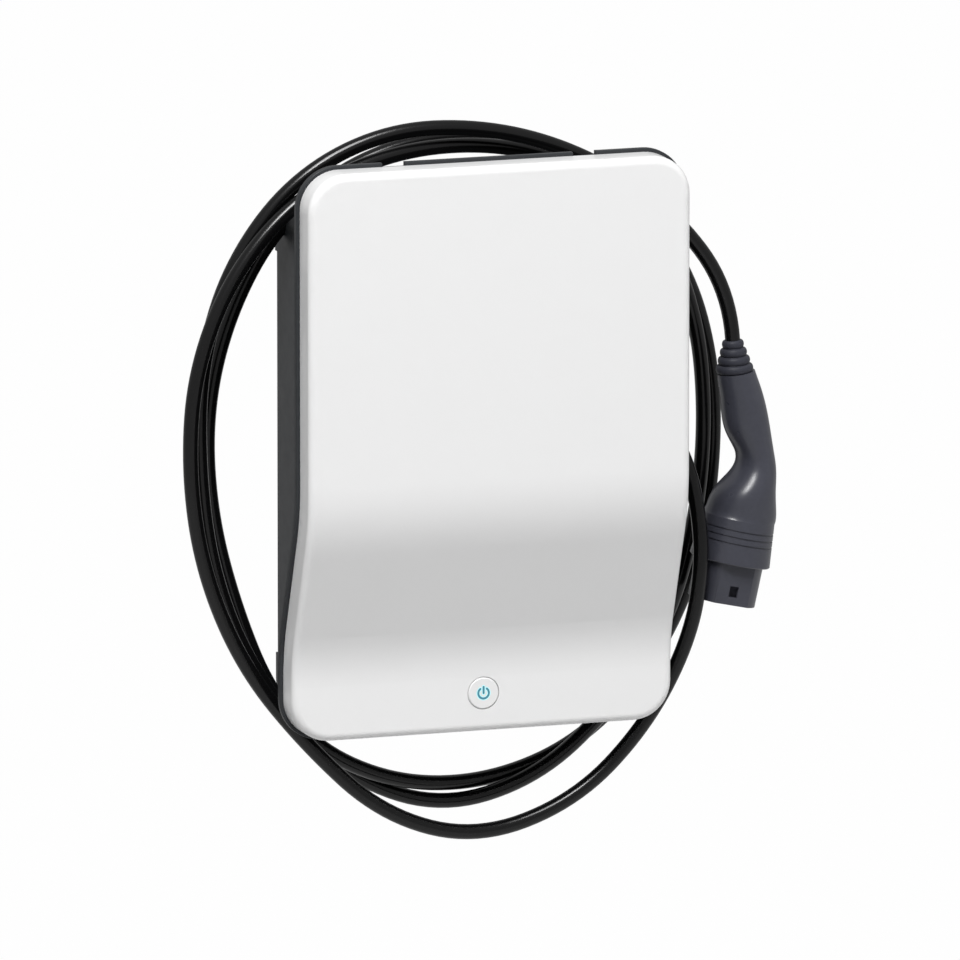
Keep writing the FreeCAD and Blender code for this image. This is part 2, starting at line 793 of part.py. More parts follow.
def make_supply_entry():
    """Gland, its nut, lock nut and seal in the bottom wall, for the supply cable."""
    x = "supply_x"
    y = "0-supply_depth"
    down = V(0, 0, -1)
    z = "0-waist_height/2"
    flange = hexagon("SupplyHex", "supply_hex", "supply_body_height", x, y, z, down)
    thread = rod("SupplyThread", "supply_thread-0.2", "housing_wall+locknut_height+2", x, y,
                 "0-waist_height/2+housing_wall+locknut_height+2", down)
    bore = rod("SupplyBore", "supply_bore", "60", x, y, "30-waist_height/2", down)
    node(cut("SupplyBody", fuse("SupplyBlank", flange, thread), bore), "supply_gland_body")
    lock = hexagon("LockHex", "supply_hex", "locknut_height", x, y,
                   "0-waist_height/2+housing_wall+locknut_height", down)
    lock_bore = rod("LockBore", "supply_thread", "locknut_height+2", x, y,
                    "0-waist_height/2+housing_wall+locknut_height+1", down)
    node(cut("LockNut", lock, lock_bore), "supply_gland_locknut")
    at = V(val("supply_x"), -val("supply_depth"), -val("waist_height") / 2 - val("supply_body_height"))
    nut = [
        ("supply_bore+seal_ring", "0"),
        ("supply_hex*0.9", "0"),
        ("supply_hex*0.9", "supply_nut_height-4"),
        ("supply_bore+4", "supply_nut_height"),
        ("supply_bore", "supply_nut_height"),
        ("supply_bore", "supply_nut_height-2"),
        ("supply_bore+seal_ring", "supply_nut_height-2"),
    ]
    node(turned("SupplyNut", nut, at, down), "supply_gland_nut")
    seal = [
        ("supply_bore-1", "0"),
        ("supply_bore+seal_ring", "0"),
        ("supply_bore+seal_ring", "supply_nut_height-2"),
        ("supply_bore-1", "supply_nut_height-2"),
    ]
    return node(turned("SupplySeal", seal, at, down), "supply_gland_seal")


def make_outlet_gland():
    """Gland, dome nut and seal where the charging cable leaves the side wall."""
    axis = outlet_axis()
    at = outlet_point(val("outlet_boss_length"))
    body = [
        ("cable_diameter/2+seal_ring", "0-outlet_boss_length"),
        ("outlet_thread-0.2", "0-outlet_boss_length"),
        ("outlet_thread-0.2", "0"),
        ("outlet_hex*0.94", "0"),
        ("outlet_hex*0.94", "outlet_body_height"),
        ("cable_diameter/2+seal_ring", "outlet_body_height"),
    ]
    node(turned("OutletBody", body, at, axis), "outlet_gland_body")
    at = outlet_point(val("outlet_boss_length") + val("outlet_body_height"))
    nut = [
        ("cable_diameter/2+seal_ring", "0"),
        ("outlet_hex*0.86", "0"),
        ("outlet_hex*0.86", "outlet_nut_height-6"),
        ("outlet_hex*0.72", "outlet_nut_height-1.5"),
        ("cable_diameter/2+seal_ring+1", "outlet_nut_height"),
        ("cable_diameter/2+seal_ring", "outlet_nut_height"),
    ]
    node(turned("OutletNut", nut, at, axis), "outlet_gland_nut")
    seal = [
        ("0", "0"),
        ("cable_diameter/2+seal_ring", "0"),
        ("cable_diameter/2+seal_ring", "outlet_nut_height"),
        ("0", "outlet_nut_height"),
    ]
    return node(turned("OutletSeal", seal, at, axis), "outlet_gland_seal")


def make_rail():
    """Top-hat rail on two spacers, with its screws."""
    z = "rail_rise-rail_width/2"
    y = "0-foot_depth-housing_wall-rail_spacer-rail_sheet"
    x = "0-rail_length/2"
    inner = "rail_rise-rail_width/2+rail_brim"
    upper = "rail_rise+rail_width/2-rail_brim-rail_sheet"
    parts = [block("RailWeb", "rail_length", "rail_sheet", "rail_width-2*rail_brim", x, y, inner)]
    for i, low in enumerate((inner, upper)):
        parts.append(block(f"RailSide{i}", "rail_length", "rail_height", "rail_sheet", x,
                           "0-foot_depth-housing_wall-rail_spacer-rail_height", low))
    for i, low in enumerate((z, upper)):
        parts.append(block(f"RailBrim{i}", "rail_length", "rail_sheet", "rail_brim+rail_sheet", x,
                           "0-foot_depth-housing_wall-rail_spacer-rail_height", low))
    node(fuse("Rail", *parts), "mounting_rail")
    spacers = []
    screws = []
    for i, side in enumerate(("0-rail_length/2+10", "rail_length/2-10")):
        spacers.append(rod(f"RailSpacer{i}", "rail_spacer_radius", "rail_spacer", side,
                           "0-foot_depth-housing_wall", "rail_rise"))
        screws.append(rod(f"RailScrew{i}", "rail_screw_radius", "2.4", side,
                          "0-foot_depth-housing_wall-rail_spacer-rail_sheet", "rail_rise"))
    node(group("RailSpacers", *spacers), "rail_spacers")
    return node(group("RailScrews", *screws), "rail_screws")


def device(name, label, modules, start, lever):
    """Rail-mounted device: body, raised nose, and a lever where it has one."""
    width = f"module_width*{modules}-device_gap"
    x = f"{start}*module_width-rail_length/2+20"
    back = "0-foot_depth-housing_wall-rail_spacer-rail_height"
    low = "rail_rise-device_height/2"
    body = block(name + "Body", width, "device_depth", "device_height", x, back + "-device_depth", low)
    nose = block(name + "Nose", width, "device_nose_depth", "device_nose", x,
                 back + "-device_depth-device_nose_depth", "rail_rise-device_nose/2")
    parts = [body, nose]
    if lever:
        parts.append(block(name + "Lever", f"module_width*{modules}-device_gap-6", "6", "8",
                           f"{start}*module_width-rail_length/2+23",
                           back + "-device_depth-device_nose_depth-6", "rail_rise-4"))
    return node(fuse(name, *parts), label)


def make_devices():
    """What stands on the rail, from left to right."""
    device("Breaker", "residual_current_breaker", 4, 0, True)
    device("Contactor", "contactor", 3, 4, False)
    device("Meter", "energy_meter", 2, 7, False)
    device("Supply", "power_supply", 2, 9, False)


def make_terminals():
    """Supply terminal block, earth bar and current sensor on the rear wall."""
    back = "0-foot_depth-housing_wall"
    blocks = []
    for i in range(5):
        x = f"{i}*terminal_pitch-2.5*terminal_pitch"
        blocks.append(block(f"Terminal{i}", "terminal_pitch", "terminal_depth", "terminal_height", x,
                            back + "-terminal_depth", "terminal_rise-terminal_height/2"))
    blank = fuse("TerminalBlank", *blocks)
    mouths = []
    for i in range(5):
        for k, low in enumerate(("terminal_rise-terminal_height/2-1", "terminal_rise+terminal_height/2-9")):
            mouths.append(rod(f"Mouth{i}{k}", "terminal_mouth", "10", f"{i}*terminal_pitch-2*terminal_pitch",
                              back + "-terminal_depth/2", low, UP))
    node(cut("Terminals", blank, *mouths), "supply_terminals")
    bar = block("EarthBlank", "earth_length", "earth_section", "earth_section", "0-earth_length/2",
                back + "-earth_section", "earth_rise-earth_section/2")
    holes = []
    for i in range(5):
        holes.append(rod(f"EarthHole{i}", "earth_hole", "earth_section+2", f"{i}*earth_pitch-2*earth_pitch",
                         back + "+1", "earth_rise"))
    node(cut("EarthBar", bar, *holes), "earth_bar")
    ring = rod("SensorRing", "sensor_radius", "sensor_depth", "sensor_x", back, "sensor_rise")
    hole = rod("SensorHole", "sensor_hole", "sensor_depth+2", "sensor_x", back + "+1", "sensor_rise")
    return node(cut("Sensor", ring, hole), "current_sensor")


def make_control_board():
    """Main board on four pillars, with its larger components."""
    back = "0-foot_depth-housing_wall"
    face = back + "-standoff_height-board_thickness"
    board = block("ControlBoard", "control_width", "board_thickness", "control_height",
                  "0-control_width/2", face, "control_rise-control_height/2")
    node(board, "control_board")
    pillars = []
    i = 0
    for x in ("8-control_width/2", "control_width/2-8"):
        for z in ("control_rise-control_height/2+8", "control_rise+control_height/2-8"):
            pillars.append(rod(f"Pillar{i}", "standoff_radius", "standoff_height", x, back, z))
            i += 1
    node(group("Pillars", *pillars), "board_pillars")
    parts = [
        block("Processor", "control_width*0.112", "component_tall*0.1", "control_width*0.112",
              "0-control_width*0.306", face + "-component_tall*0.1", "control_rise-control_width*0.056"),
        block("Relay", "control_width*0.143", "component_tall*0.62", "control_height*0.167",
              "control_width*0.051", face + "-component_tall*0.62", "control_rise+control_height*0.103"),
        block("Transformer", "control_width*0.163", "component_tall", "control_height*0.36",
              "control_width*0.204", face + "-component_tall", "control_rise-control_height*0.385"),
        block("Header", "control_width*0.306", "component_tall*0.35", "control_height*0.103",
              "0-control_width*0.408", face + "-component_tall*0.35", "control_rise-control_height*0.46"),
        rod("Capacitor0", "control_width*0.04", "component_tall*0.85", "0-control_width*0.051", face,
            "control_rise-control_height*0.205"),
        rod("Capacitor1", "control_width*0.04", "component_tall*0.85", "control_width*0.061", face,
            "control_rise-control_height*0.205"),
    ]
    return node(group("BoardParts", *parts), "board_components")


def cable_points():
    """The route from the gland's mouth to the boot."""
    exit_distance = val("outlet_boss_length") + val("outlet_body_height") + val("outlet_nut_height")
    start = outlet_point(exit_distance)
    lead = outlet_point(exit_distance + OUTLET_LEAD)
    end = V(val("connector_x"), -val("connector_depth"), val("connector_top"))
    wide = val("waist_width") / ROUTE_WAIST[0]
    tall = val("waist_height") / ROUTE_WAIST[1]
    return [start, lead] + [V(x * wide, y, z * tall) for x, y, z in CABLE_ROUTE] + [end]


def make_cable():
    """Tube along straight runs joined by tangent arcs."""
    points = cable_points()
    edges = []
    position = points[0]
    length = 0.0
    radii = []
    for i in range(1, len(points) - 1):
        before = points[i] - points[i - 1]
        after = points[i + 1] - points[i]
        turn = before.getAngle(after)
        reach = ARC_SHARE * min(before.Length, after.Length)
        before.normalize()
        after.normalize()
        start = points[i] - before * reach
        end = points[i] + after * reach
        radius = reach / math.tan(turn / 2)
        radii.append(radius)
        bisector = after - before
        bisector.normalize()
        centre = points[i] + bisector * (radius / math.cos(turn / 2))
        middle = centre - bisector * radius
        edges.append(Part.LineSegment(position, start).toShape())
        edges.append(Part.Arc(start, middle, end).toShape())
        length += (start - position).Length + radius * turn
        position = end
    edges.append(Part.LineSegment(position, points[-1]).toShape())
    length += (points[-1] - position).Length
    path = Part.Wire(edges)
    radius = val("cable_diameter") / 2
    circle = Part.Wire(Part.makeCircle(radius, points[0], points[1] - points[0]))
    tube = path.makePipeShell([circle], True, False)
    expected = math.pi * radius ** 2 * length
    print("cable length", round(length), "smallest bend", round(min(radii)), "volume share",
          round(tube.Volume / expected, 4))
    if abs(tube.Volume / expected - 1) > 0.01:
        raise RuntimeError("the cable's volume doesn't match its length")
    return node(solid("Cable", tube), "charge_cable")


def boot_axis():
    """Direction of the boot, which the cable's last run gives."""
    points = cable_points()
    axis = points[-1] - points[-2]
    axis.normalize()
    return axis


def boot_foot():
    """Centre of the face where the boot meets the handle."""
    return cable_points()[-1] + boot_axis() * val("boot_length")


def make_boot():
    """Ribbed boot: four rounded rings that widen towards the handle."""
    rings = 4
    outline = [("0", "0")]
    for i in range(rings):
        radius = f"boot_top+{i}*boot_base/{rings - 1}-{i}*boot_top/{rings - 1}"
        low = f"{i}*boot_length/{rings}"
        high = f"{i + 1}*boot_length/{rings}"
        outline.append((radius + "-boot_groove", low if i else "0"))
        outline.append((radius, low + "+1.6"))
        outline.append((radius, high + "-1.6"))
        outline.append((radius + "-boot_groove", high if i < rings - 1 else "boot_length"))
    outline.append(("0", "boot_length"))
    return node(turned("Boot", outline, cable_points()[-1], boot_axis()), "connector_boot")


def handle_placement(share, offset, lean):
    """Place of one handle station, leaned about the front-to-back axis."""
    foot = boot_foot()
    height = foot.z - share * val("handle_length")
    if lean is None:
        lean = math.degrees(math.atan2(boot_axis().x, -boot_axis().z))
    lean_turn = FreeCAD.Rotation(V(0, 1, 0), 180 - lean)
    return FreeCAD.Placement(V(foot.x + offset, foot.y, height), lean_turn)


def half_oval(width, depth, height):
    """Half of an ellipse, closed by a straight line along its width; minus depth is the front."""
    near = QUARTER_REACH * width
    side = QUARTER_REACH * depth
    poles = [V(width, 0, 0), V(width, side, 0), V(near, depth, 0),
             V(-near, depth, 0), V(-width, side, 0), V(-width, 0, 0)]
    arc = Part.BSplineCurve()
    arc.buildFromPolesMultsKnots(poles, [4, 2, 4], [0.0, 0.5, 1.0], False, 3)
    chord = Part.LineSegment(V(-width, 0, 0), V(width, 0, 0)).toShape()
    ring = Part.Wire([arc.toShape(), chord])
    ring.translate(V(0, 0, height))
    return ring


def half_loft(side, shrink, extend):
    """One half of the handle, lofted through its stations, shrunk by its wall for the inside."""
    wires = []
    last = len(HANDLE_STATIONS) - 1
    for i, (share, offset, half_width, half_depth, lean) in enumerate(HANDLE_STATIONS):
        height = extend * (i == last) - extend * (i == 0)
        wire = half_oval(half_width - shrink, side * (half_depth - shrink), height)
        wire.Placement = handle_placement(share, offset, lean).multiply(wire.Placement)
        wires.append(wire)
    return Part.makeLoft(wires, True, False)


def head_place():
    """Frame of the connector's head: origin in the shoulder, axis along the shroud."""
    share, offset, _, _, lean = HANDLE_STATIONS[-1]
    drop = FreeCAD.Placement(V(0, 0, val("collar_length")), FreeCAD.Rotation())
    return handle_placement(share, offset, lean).multiply(drop)


def in_head(shape):
    """Move a shape that was made about the shroud's axis to its place."""
    shape.Placement = head_place().multiply(shape.Placement)
    return shape


def shroud_profile(radius, flat, low, high):
    """Round bar with one flat side, as the vehicle inlet needs."""
    bar = Part.makeCylinder(radius, high - low, V(0, 0, low))
    bar.rotate(V(0, 0, 0), UP, 50)
    slab = Part.makeBox(4 * radius, 2 * radius, high - low + 2, V(-2 * radius, -flat - 2 * radius, low - 1))
    return bar.cut(slab)


def make_handle():
    """Two half shells with a seam in the plane of the bend."""
    wall = val("handle_wall")
    for label, side in (("handle_front_half", -1), ("handle_rear_half", 1)):
        half = half_loft(side, 0, 0).cut(half_loft(side, wall, 2))
        node(solid("Shell_" + label, half), label)


def make_collar():
    """Tapered ring that holds the two halves together, with three grip grooves."""
    length = val("collar_length")
    outline = [("collar_radius-handle_wall", "0-shroud_seat")]
    outline.append(("collar_top-handle_wall", "0-collar_length"))
    outline.append(("collar_top", "0-collar_length"))
    for i in (2, 1, 0):
        low = val("shroud_seat") + val("grip_groove_foot") + val("grip_groove_pitch") * i
        for edge, depth in ((low + val("grip_groove"), 0), (low + val("grip_groove"), 1), (low, 1), (low, 0)):
            share = edge / length
            radius = f"collar_radius*{1 - share:.5f}+collar_top*{share:.5f}-grip_groove_depth*{depth}"
            outline.append((radius, f"0-collar_length*{share:.5f}"))
    outline += [("collar_radius", "-0.8"), ("collar_radius-0.8", "0"), ("10", "0"), ("10", "0-shroud_seat")]
    place = head_place()
    ring = turned("CollarRing", outline, place.Base, place.Rotation.multVec(UP))
    seat = in_head(shroud_profile(val("shroud_radius"), val("shroud_flat"), -length, 2))
    return node(cut("Collar", ring, solid("CollarSeat", seat)), "connector_collar")


def make_shroud():
    """Thin sleeve round the contacts, with the hole that the inlet's bolt locks."""
    radius = val("shroud_radius") - val("carrier_gap") / 3
    flat = val("shroud_flat") - val("carrier_gap") / 3
    wall = val("shroud_wall")
    seat = val("shroud_seat")
    length = val("shroud_length")
    sleeve = shroud_profile(radius, flat, -seat, length)
    hollow = shroud_profile(radius - wall, flat - wall, -seat - 1, length + 1)
    sleeve = sleeve.cut(hollow)
    low = length - val("lock_from_rim") - val("lock_height") / 2
    lock = Part.makeBox(val("lock_width"), radius, val("lock_height"),
                        V(-val("lock_width") / 2, -radius - 1, low))
    return node(solid("Shroud", in_head(sleeve.cut(lock))), "connector_shroud")


def make_contacts():
    """Moulded carrier inside the sleeve, with seven contact bores."""
    gap = val("carrier_gap")
    radius = val("shroud_radius") - val("shroud_wall") - gap
    flat = val("shroud_flat") - val("shroud_wall") - gap
    front = val("carrier_front")
    back = -val("shroud_seat")
    carrier = shroud_profile(radius, flat, back, front)
    sleeves = []
    places = [(0.0, 0.0, "contact_radius"), (-14.0, 0.0, "contact_radius"), (14.0, 0.0, "contact_radius"),
              (-8.0, 13.0, "contact_radius"), (8.0, 13.0, "contact_radius"),
              (-7.5, -12.0, "pilot_radius"), (7.5, -12.0, "pilot_radius")]
    for x, y, kind in places:
        size = val(kind)
        low = front - val("contact_length")
        bore = Part.makeCylinder(size, val("contact_length") + 1, V(x, y, low))
        carrier = carrier.cut(bore)
        sleeve = Part.makeCylinder(size - gap / 3, val("contact_length") - 2, V(x, y, low))
        sleeve = sleeve.cut(Part.makeCylinder(size * 0.6, val("contact_length"), V(x, y, low + 2)))
        sleeves.append(in_head(sleeve))
    node(solid("Carrier", in_head(carrier)), "contact_carrier")
    return node(solid("Contacts", Part.makeCompound(sleeves)), "contact_sleeves")


def build():
    """Make every sub-part."""
    make_rear_housing()
    make_front_cover()
    make_cover_seal()
    make_cover_screws()
    make_button()
    make_button_guide()
    make_button_board()
    make_supply_entry()
    make_outlet_gland()
    make_rail()
    make_devices()
    make_terminals()
    make_control_board()
    make_cable()
    make_boot()
    make_handle()
    make_collar()
    make_shroud()
    make_contacts()
    doc.recompute()


def check():
    """Stop on anything that failed to build."""
    for obj in doc.Objects:
        bad = [state for state in obj.State if state in ("Invalid", "Error")]
        if bad:
            raise RuntimeError(f"{obj.Name} is {bad}")
    for obj in NODES:
        if obj.Shape.isNull() or not obj.Shape.isValid():
            raise RuntimeError(f"{obj.Label} has no valid shape")
        if not obj.Shape.Solids:
            raise RuntimeError(f"{obj.Label} has no solid")


def export():
    """One file for each sub-part."""
    os.makedirs("parts", exist_ok=True)
    for obj in NODES:
        obj.Shape.exportStep(f"parts/{obj.Label}.step")
        print(obj.Label, len(obj.Shape.Solids), round(obj.Shape.Volume / 1000, 1))


build()
check()
export()
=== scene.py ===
import math

import bmesh
import bpy
from bpy.props import FloatProperty, FloatVectorProperty, IntProperty, PointerProperty
from mathutils import Matrix, Vector
from mathutils.bvhtree import BVHTree


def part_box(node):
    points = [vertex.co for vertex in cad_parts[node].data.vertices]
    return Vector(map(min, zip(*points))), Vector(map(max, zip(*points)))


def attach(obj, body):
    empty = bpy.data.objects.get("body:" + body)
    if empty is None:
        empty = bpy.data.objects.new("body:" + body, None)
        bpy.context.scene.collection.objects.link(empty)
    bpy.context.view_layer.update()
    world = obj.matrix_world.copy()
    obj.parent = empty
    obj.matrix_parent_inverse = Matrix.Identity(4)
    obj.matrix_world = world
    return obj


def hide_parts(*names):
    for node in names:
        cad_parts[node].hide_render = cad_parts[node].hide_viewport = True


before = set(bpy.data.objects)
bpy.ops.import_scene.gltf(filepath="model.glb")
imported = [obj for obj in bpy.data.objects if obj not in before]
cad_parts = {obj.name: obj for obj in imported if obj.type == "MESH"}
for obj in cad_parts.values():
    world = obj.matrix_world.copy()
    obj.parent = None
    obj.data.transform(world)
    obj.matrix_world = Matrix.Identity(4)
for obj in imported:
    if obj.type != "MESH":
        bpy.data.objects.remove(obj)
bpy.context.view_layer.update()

bl_info = {
    "name": "Vehicle Charger",
    "version": (1, 0, 0),
    "blender": (4, 5, 0),
    "location": "View3D > Sidebar > Charger",
    "description": "Dresses a wall-mounted vehicle charger with its finishes, cable and small trim",
    "category": "Object",
}

# One millimetre. Places and reaches are given in millimetres, other sizes in metres.
MM = 0.001

# The charging cable's gland: its foot on the side wall and how far down it
# points, then how far along it the nut's ribs start and the cable comes out,
# and how much further the cable's second control point lies
OUTLET_FOOT = Vector((136.5, -80.0, 70.0))
OUTLET_ANGLE = math.radians(55.0)
OUTLET_RIBS_REACH = 31.0
OUTLET_REACH = 46.0
OUTLET_LEAD = 38.0

# The cable's other control points: out and down the right side, then three
# turns round the waist and up to the connector
CABLE_ROUTE = [
    (195, -92, -42), (198, -98, -95), (189, -94, -158), (155, -82, -231), (94, -81, -290),
    (10, -78, -317), (-70, -74, -292), (-134, -68, -230), (-186, -64, -163), (-219, -62, -83),
    (-231, -62, 1), (-225, -62, 85), (-191, -60, 163), (-131, -56, 223), (-50, -49, 252),
    (35, -42, 253), (118, -37, 229), (184, -31, 175), (218, -26, 95), (226, -25, 10),
    (218, -25, -74), (194, -26, -156), (144, -29, -224), (77, -34, -279), (-6, -26, -301),
    (-87, -16, -267), (-145, -16, -202), (-177, -16, -124), (-198, -16, -43), (-202, -18, 41),
    (-183, -19, 119), (-144, -22, 190), (-80, -24, 240), (2, -24, 260), (86, -22, 243),
    (161, -17, 201), (214, -14, 133), (237, -13, 50), (237, -13, -36), (222, -13, -119),
    (183, -14, -195), (121, -14, -256), (40, -19, -283), (-46, -32, -276), (-122, -39, -237),
    (-174, -38, -165), (-204, -38, -86), (-215, -39, 0), (-213, -40, 85), (-188, -42, 166),
    (-135, -47, 234), (-58, -51, 270), (28, -56, 269), (108, -62, 243), (179, -68, 194),
    (230, -71, 127), (233, -71, 83),
]

# Depth of the boot's beads, and how many points shape each
BEAD_DEPTH = 0.0021
BEAD_STEPS = 24

# Grip ribs on the gland nuts: where those of the supply nut start, the radius
# of each nut's ring of ribs with the ribs' length, and the radius of one rib
SUPPLY_RIBS_TOP = Vector((40.0, -52.0, -214.1))
OUTLET_RIBS = (0.0144, 0.0082)
SUPPLY_RIBS = (0.0178, 0.0058)
RIB_RADIUS = 0.0008

# Screws in the connector's back: X and Z of each, the height of a head, and
# the width and foot of its socket as shares of the head's
SCREW_SPOTS = [(243.0, 27.0), (250.5, -14.0), (243.0, -46.0)]
SCREW_HEAD_HEIGHT = 0.001
SOCKET_WIDTH = 0.56
SOCKET_LIFT = 0.35

# The power sign: points along its ring and its bar and round a stroke's end,
# the share of a stroke by which the bar's end passes the ring's middle line,
# how far the glow and the strokes stand out, and how deep both are set in
RING_STEPS = 40
BAR_STEPS = 4
END_STEPS = 8
BAR_RISE = 0.35
GLOW_RISE = 0.00001
STROKE_RISE = 0.00005
SIGN_DEPTH = 0.00012

# What the camera is aimed at, its sensor, and how far it sees
VIEW_TARGET = Vector((8.5, -91.1, -16.0))
SENSOR_WIDTH = 36.0
CLIP_END = 200.0

# The floor's size and height, and how white the camera sees it. Reflections
# see the floor and the world less white.
FLOOR_SIZE = 30.0
FLOOR_LEVEL = -1.6
FLOOR_WHITE = 0.99
MIRRORED_WHITE = 0.4

# The lamps: how far away they stand, then for each its way from the object,
# the side of its square, and whether reflections show it
LIGHT_DISTANCE = 5.96
LAMPS = {
    "key": ((-1.0, -1.8, 3.4), 2.4, True),
    "spark": ((-1.0, -1.8, 2.15), 1.0, True),
    "side": ((2.5, -0.8, 0.5), 2.4, False),
    "low": ((-0.6, -2.0, -1.0), 2.4, False),
}


class ChargerFinish(bpy.types.PropertyGroup):
    """Colours of the mouldings."""
    cover: FloatVectorProperty(
        name="Cover", description="Colour of the front cover and its button",
        subtype="COLOR", size=3, min=0.0, max=1.0, default=(0.866, 0.866, 0.866))
    tub: FloatVectorProperty(
        name="Tub", description="Colour of the tub behind the cover",
        subtype="COLOR", size=3, min=0.0, max=1.0, default=(0.0300, 0.0320, 0.0350))
    connector: FloatVectorProperty(
        name="Connector", description="Colour of the connector's grip and sleeve",
        subtype="COLOR", size=3, min=0.0, max=1.0, default=(0.048, 0.0495, 0.064))
    jacket: FloatVectorProperty(
        name="Jacket", description="Colour of the cable's jacket",
        subtype="COLOR", size=3, min=0.0, max=1.0, default=(0.004, 0.004, 0.0042))
    sign: FloatVectorProperty(
        name="Power sign", description="Colour of the lit power sign",
        subtype="COLOR", size=3, min=0.0, max=1.0, default=(0.05, 0.24, 0.33))
    glow: FloatVectorProperty(
        name="Sign glow", description="Colour of the pale rim that shines round the power sign",
        subtype="COLOR", size=3, min=0.0, max=1.0, default=(0.55, 0.93, 0.97))
    grain: FloatProperty(
        name="Grain", description="Size of the grain in the dark mouldings",
        unit="LENGTH", min=0.0001, max=0.01, precision=5, default=0.0006)


class ChargerCable(bpy.types.PropertyGroup):
    """Thickness of the charging cable."""
    diameter: FloatProperty(
        name="Diameter", description="Outer diameter of the cable's jacket",
        unit="LENGTH", min=0.006, max=0.03, precision=4, default=0.0125)


class ChargerTrim(bpy.types.PropertyGroup):
    """Sizes of the connector's boot and screws, and of the ribs on the gland nuts."""
    boot_length: FloatProperty(
        name="Boot length", description="Length of the beaded boot between cable and grip",
        unit="LENGTH", min=0.01, max=0.08, precision=4, default=0.027)
    beads: IntProperty(
        name="Boot beads", description="Number of rounded rings on the boot",
        min=2, max=12, default=4)
    boot_top: FloatProperty(
        name="Boot top", description="Radius of the boot's smallest ring",
        unit="LENGTH", min=0.006, max=0.03, precision=4, default=0.009)
    boot_base: FloatProperty(
        name="Boot base", description="Radius of the boot's largest ring",
        unit="LENGTH", min=0.006, max=0.04, precision=4, default=0.0154)
    ribs: IntProperty(
        name="Nut ribs", description="Number of grip ribs round each gland nut",
        min=6, max=60, default=24)
    screw_head: FloatProperty(
        name="Screw head", description="Diameter of the screw heads in the connector's back",
        unit="LENGTH", min=0.002, max=0.012, precision=4, default=0.0056)


class ChargerSign(bpy.types.PropertyGroup):
    """Size of the power sign on the button."""
    diameter: FloatProperty(
        name="Ring", description="Outer diameter of the sign's open ring",
        unit="LENGTH", min=0.004, max=0.02, precision=4, default=0.0107)
    stroke: FloatProperty(
        name="Stroke", description="Width of the sign's strokes",
        unit="LENGTH", min=0.0005, max=0.004, precision=4, default=0.0017)
    bar: FloatProperty(
        name="Bar", description="Length of the sign's upright bar",
        unit="LENGTH", min=0.002, max=0.01, precision=4, default=0.0051)
    rim: FloatProperty(
        name="Glow rim", description="Width of the pale rim round the sign's strokes",
        unit="LENGTH", min=0.0, max=0.002, precision=4, default=0.0007)
    gap: FloatProperty(
        name="Gap", description="Half of the ring's opening at the top",
        subtype="ANGLE", min=0.2, max=1.5, default=math.radians(38.0))


class ChargerStage(bpy.types.PropertyGroup):
    """View and light."""
    azimuth: FloatProperty(
        name="Azimuth", description="How far the camera stands to the left of the front",
        subtype="ANGLE", default=math.radians(18.7))
    elevation: FloatProperty(
        name="Elevation", description="How far the camera stands above the object",
        subtype="ANGLE", default=math.radians(10.9))
    distance: FloatProperty(
        name="Distance", description="How far away the camera stands",
        unit="LENGTH", min=1.0, max=100.0, default=15.0)
    width: FloatProperty(
        name="Width", description="Width of the view at the object",
        unit="LENGTH", min=0.1, max=5.0, default=0.7799)
    key: FloatProperty(
        name="Key light", description="Power of the large soft light above the front",
        unit="POWER", min=0.0, max=5000.0, default=338.0)
    spark: FloatProperty(
        name="Small light", description="Power of the small light that draws the highlights",
        unit="POWER", min=0.0, max=500.0, default=115.0)
    side: FloatProperty(
        name="Side light", description="Power of the soft light to the right",
        unit="POWER", min=0.0, max=5000.0, default=115.0)
    low: FloatProperty(
        name="Low light", description="Power of the soft light below the front",
        unit="POWER", min=0.0, max=5000.0, default=90.0)
    fill: FloatProperty(
        name="Fill", description="Level of the light from all round",
        min=0.0, max=2.0, default=0.085)


# Materials
def new_surface(name, colour, roughness, **sockets):
    """Principled material with its plain values, and its tree, shader and Object coordinates."""
    material = bpy.data.materials.new(name)
    material.use_nodes = True
    tree = material.node_tree
    shader = tree.nodes["Principled BSDF"]
    shader.inputs["Base Color"].default_value = (*colour, 1.0)
    shader.inputs["Roughness"].default_value = roughness
    for socket, value in sockets.items():
        shader.inputs[socket.replace("_", " ")].default_value = value
    coordinates = tree.nodes.new("ShaderNodeTexCoord").outputs["Object"]
    return material, tree, shader, coordinates


def noise(tree, coordinates, size, detail=2.0):
    """Noise from 0 to 1 whose lumps are about as large as size."""
    texture = tree.nodes.new("ShaderNodeTexNoise")
    texture.inputs["Scale"].default_value = 1.0 / size
    texture.inputs["Detail"].default_value = detail
    tree.links.new(coordinates, texture.inputs["Vector"])
    return texture.outputs["Fac"]


def roughen(tree, shader, value, low, high):
    """Let the roughness run from low to high as a value does from 0 to 1."""
    span = tree.nodes.new("ShaderNodeMapRange")
    span.inputs["To Min"].default_value = low
    span.inputs["To Max"].default_value = high
    tree.links.new(value, span.inputs["Value"])
    tree.links.new(span.outputs["Result"], shader.inputs["Roughness"])


def bump(tree, shader, height, depth, strength=1.0):
    """Raise the surface by up to depth where height is high."""
    node = tree.nodes.new("ShaderNodeBump")
    node.inputs["Strength"].default_value = strength
    node.inputs["Distance"].default_value = depth
    tree.links.new(height, node.inputs["Height"])
    tree.links.new(node.outputs["Normal"], shader.inputs["Normal"])


def tint(tree, shader, value, dark, light):
    """Let the base colour run from dark to light as a value does from 0 to 1."""
    ramp = tree.nodes.new("ShaderNodeValToRGB")
    ramp.color_ramp.elements[0].color = (*dark, 1.0)
    ramp.color_ramp.elements[1].color = (*light, 1.0)
    tree.links.new(value, ramp.inputs["Fac"])
    tree.links.new(ramp.outputs["Color"], shader.inputs["Base Color"])


